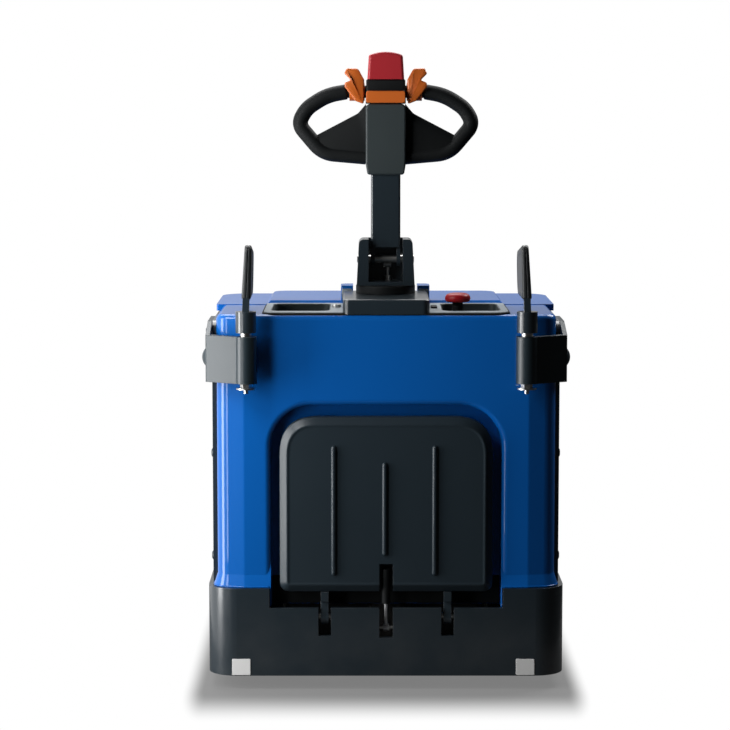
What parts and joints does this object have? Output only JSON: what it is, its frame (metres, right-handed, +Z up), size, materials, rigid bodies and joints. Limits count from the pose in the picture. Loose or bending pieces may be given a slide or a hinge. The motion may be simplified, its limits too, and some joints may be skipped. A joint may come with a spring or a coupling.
{
  "type": "electric rider pallet truck",
  "caption": "Ride-on electric pallet truck with a moulded blue hood, upright tiller, folded rider platform, swing guard arms and low lifting forks.",
  "frame": {"origin": "on the floor, under the centre of the whole truck's box", "axes": "+X right seen from the operator's end, +Y towards the fork tips, +Z up"},
  "size_m": [0.758, 1.762, 1.316],
  "materials": {
    "blue_paint": "gloss",
    "frame_paint": "satin",
    "platform_paint": "satin",
    "dash_plastic": "satin",
    "black_plastic": "satin",
    "slate_plastic": "satin",
    "orange_plastic": "satin",
    "red_plastic": "satin",
    "bright_steel": "satin",
    "pad_rubber": "matte",
    "cast_iron": "matte",
    "wheel_rubber": "matte"
  },
  "bodies": {
    "chassis": {"chassis_frame": "frame_paint", "hinge_pins": "bright_steel", "drive_cover": "blue_paint", "dash_panel": "dash_plastic", "tiller_block": "black_plastic", "emergency_stop": "red_plastic", "key_switch": "bright_steel", "guard_bracket_left": "frame_paint", "guard_bracket_right": "frame_paint", "caster_mount_left": "bright_steel", "caster_mount_right": "bright_steel"},
    "steer_unit": {"steer_ring": "black_plastic", "tiller_yoke": "frame_paint", "tilt_pin": "bright_steel", "tilt_spring": "bright_steel", "steering_column": "cast_iron", "drive_unit": "cast_iron", "drive_motor": "cast_iron"},
    "drive_wheel": {"drive_tyre": "wheel_rubber", "drive_rim": "cast_iron"},
    "tiller": {"tiller_tube": "frame_paint", "tiller_head": "slate_plastic", "tiller_handles": "black_plastic", "belly_button": "red_plastic", "throttles": "orange_plastic"},
    "platform": {"platform_tray": "platform_paint", "platform_deck": "platform_paint", "platform_mat": "pad_rubber", "platform_arms": "frame_paint"},
    "strut_rod": {"strut_rod": "bright_steel"},
    "strut_tube": {"strut_body": "black_plastic"},
    "lift_frame": {"fork_frame": "frame_paint", "fork_left": "frame_paint", "fork_right": "frame_paint", "battery_box": "frame_paint", "battery": "black_plastic", "battery_lid": "blue_paint", "slide_pads": "black_plastic"},
    "load_arms": {"load_arm_left": "frame_paint", "load_arm_right": "frame_paint"},
    "pull_rods": {"push_rods": "bright_steel"},
    "guard_left": {"guard_pin_left": "bright_steel", "guard_arm_left": "frame_paint", "guard_pad_left": "pad_rubber"},
    "caster_swivel_left": {"caster_fork_left": "bright_steel"},
    "caster_roll_left": {"caster_wheel_left": "wheel_rubber"},
    "load_wheel_left": {"load_roller_left": "wheel_rubber"},
    "guard_right": {"guard_pin_right": "bright_steel", "guard_arm_right": "frame_paint", "guard_pad_right": "pad_rubber"},
    "caster_swivel_right": {"caster_fork_right": "bright_steel"},
    "caster_roll_right": {"caster_wheel_right": "wheel_rubber"},
    "load_wheel_right": {"load_roller_right": "wheel_rubber"}
  },
  "joints": [
    {"name": "steering", "type": "hinge", "parent": "chassis", "child": "steer_unit", "pos_m": [0, -0.639, 0.5], "axis": [0, 0, 1], "range_deg": [-90, 90]},
    {"name": "drive_roll", "type": "hinge", "parent": "steer_unit", "child": "drive_wheel", "pos_m": [0, -0.639, 0.115], "axis": [1, 0, 0], "continuous": true},
    {"name": "tiller_tilt", "type": "hinge", "parent": "steer_unit", "child": "tiller", "pos_m": [0, -0.639, 0.882], "axis": [1, 0, 0], "range_deg": [0, 70], "stiffness_Nm_per_rad": 14, "springref_deg": -34.38},
    {"name": "platform_fold", "type": "hinge", "parent": "chassis", "child": "platform", "pos_m": [0, -0.809, 0.15], "axis": [1, 0, 0], "range_deg": [0, 90], "stiffness_Nm_per_rad": 22, "springref_deg": -45.84},
    {"name": "strut_swing", "type": "hinge", "parent": "chassis", "child": "strut_rod", "pos_m": [0, -0.815, 0.127], "axis": [1, 0, 0], "range_deg": [0, 81.74]},
    {"name": "strut_stroke", "type": "slide", "parent": "strut_rod", "child": "strut_tube", "axis": [0, -0.0696, 0.9976], "range_m": [-0.02929, 0]},
    {"name": "fork_lift", "type": "slide", "parent": "chassis", "child": "lift_frame", "axis": [0, 0, 1], "range_m": [0, 0.12]},
    {"name": "load_arm_swing", "type": "hinge", "parent": "lift_frame", "child": "load_arms", "pos_m": [0, 0.579, 0.058], "axis": [-1, 0, 0], "range_deg": [0, 50.52]},
    {"name": "pull_rod_slide", "type": "slide", "parent": "lift_frame", "child": "pull_rods", "axis": [0, -1, 0], "range_m": [0, 0.0126]},
    {"name": "guard_swing_left", "type": "hinge", "parent": "chassis", "child": "guard_left", "pos_m": [-0.286, -0.859, 0.746], "axis": [0, 0, 1], "range_deg": [0, 180]},
    {"name": "caster_swivel_left", "type": "hinge", "parent": "chassis", "child": "caster_swivel_left", "pos_m": [-0.24456, -0.624, 0.15], "axis": [0, 0, 1], "continuous": true},
    {"name": "caster_roll_left", "type": "hinge", "parent": "caster_swivel_left", "child": "caster_roll_left", "pos_m": [-0.24456, -0.588, 0.062], "axis": [1, 0, 0], "continuous": true},
    {"name": "load_roll_left", "type": "hinge", "parent": "load_arms", "child": "load_wheel_left", "pos_m": [-0.185, 0.74312, 0.041], "axis": [1, 0, 0], "continuous": true},
    {"name": "guard_swing_right", "type": "hinge", "parent": "chassis", "child": "guard_right", "pos_m": [0.286, -0.859, 0.746], "axis": [0, 0, -1], "range_deg": [0, 180]},
    {"name": "caster_swivel_right", "type": "hinge", "parent": "chassis", "child": "caster_swivel_right", "pos_m": [0.24456, -0.624, 0.15], "axis": [0, 0, 1], "continuous": true},
    {"name": "caster_roll_right", "type": "hinge", "parent": "caster_swivel_right", "child": "caster_roll_right", "pos_m": [0.24456, -0.588, 0.062], "axis": [1, 0, 0], "continuous": true},
    {"name": "load_roll_right", "type": "hinge", "parent": "load_arms", "child": "load_wheel_right", "pos_m": [0.185, 0.74312, 0.041], "axis": [1, 0, 0], "continuous": true}
  ],
  "couplings": [
    {"joint": "strut_swing", "follows": "platform_fold", "ratio": 0.90483},
    {"joint": "strut_stroke", "follows": "platform_fold", "m_per_rad": -0.018458},
    {"joint": "load_arm_swing", "follows": "fork_lift", "rad_per_m": 7.3036},
    {"joint": "pull_rod_slide", "follows": "fork_lift", "ratio": 0.10246}
  ]
}
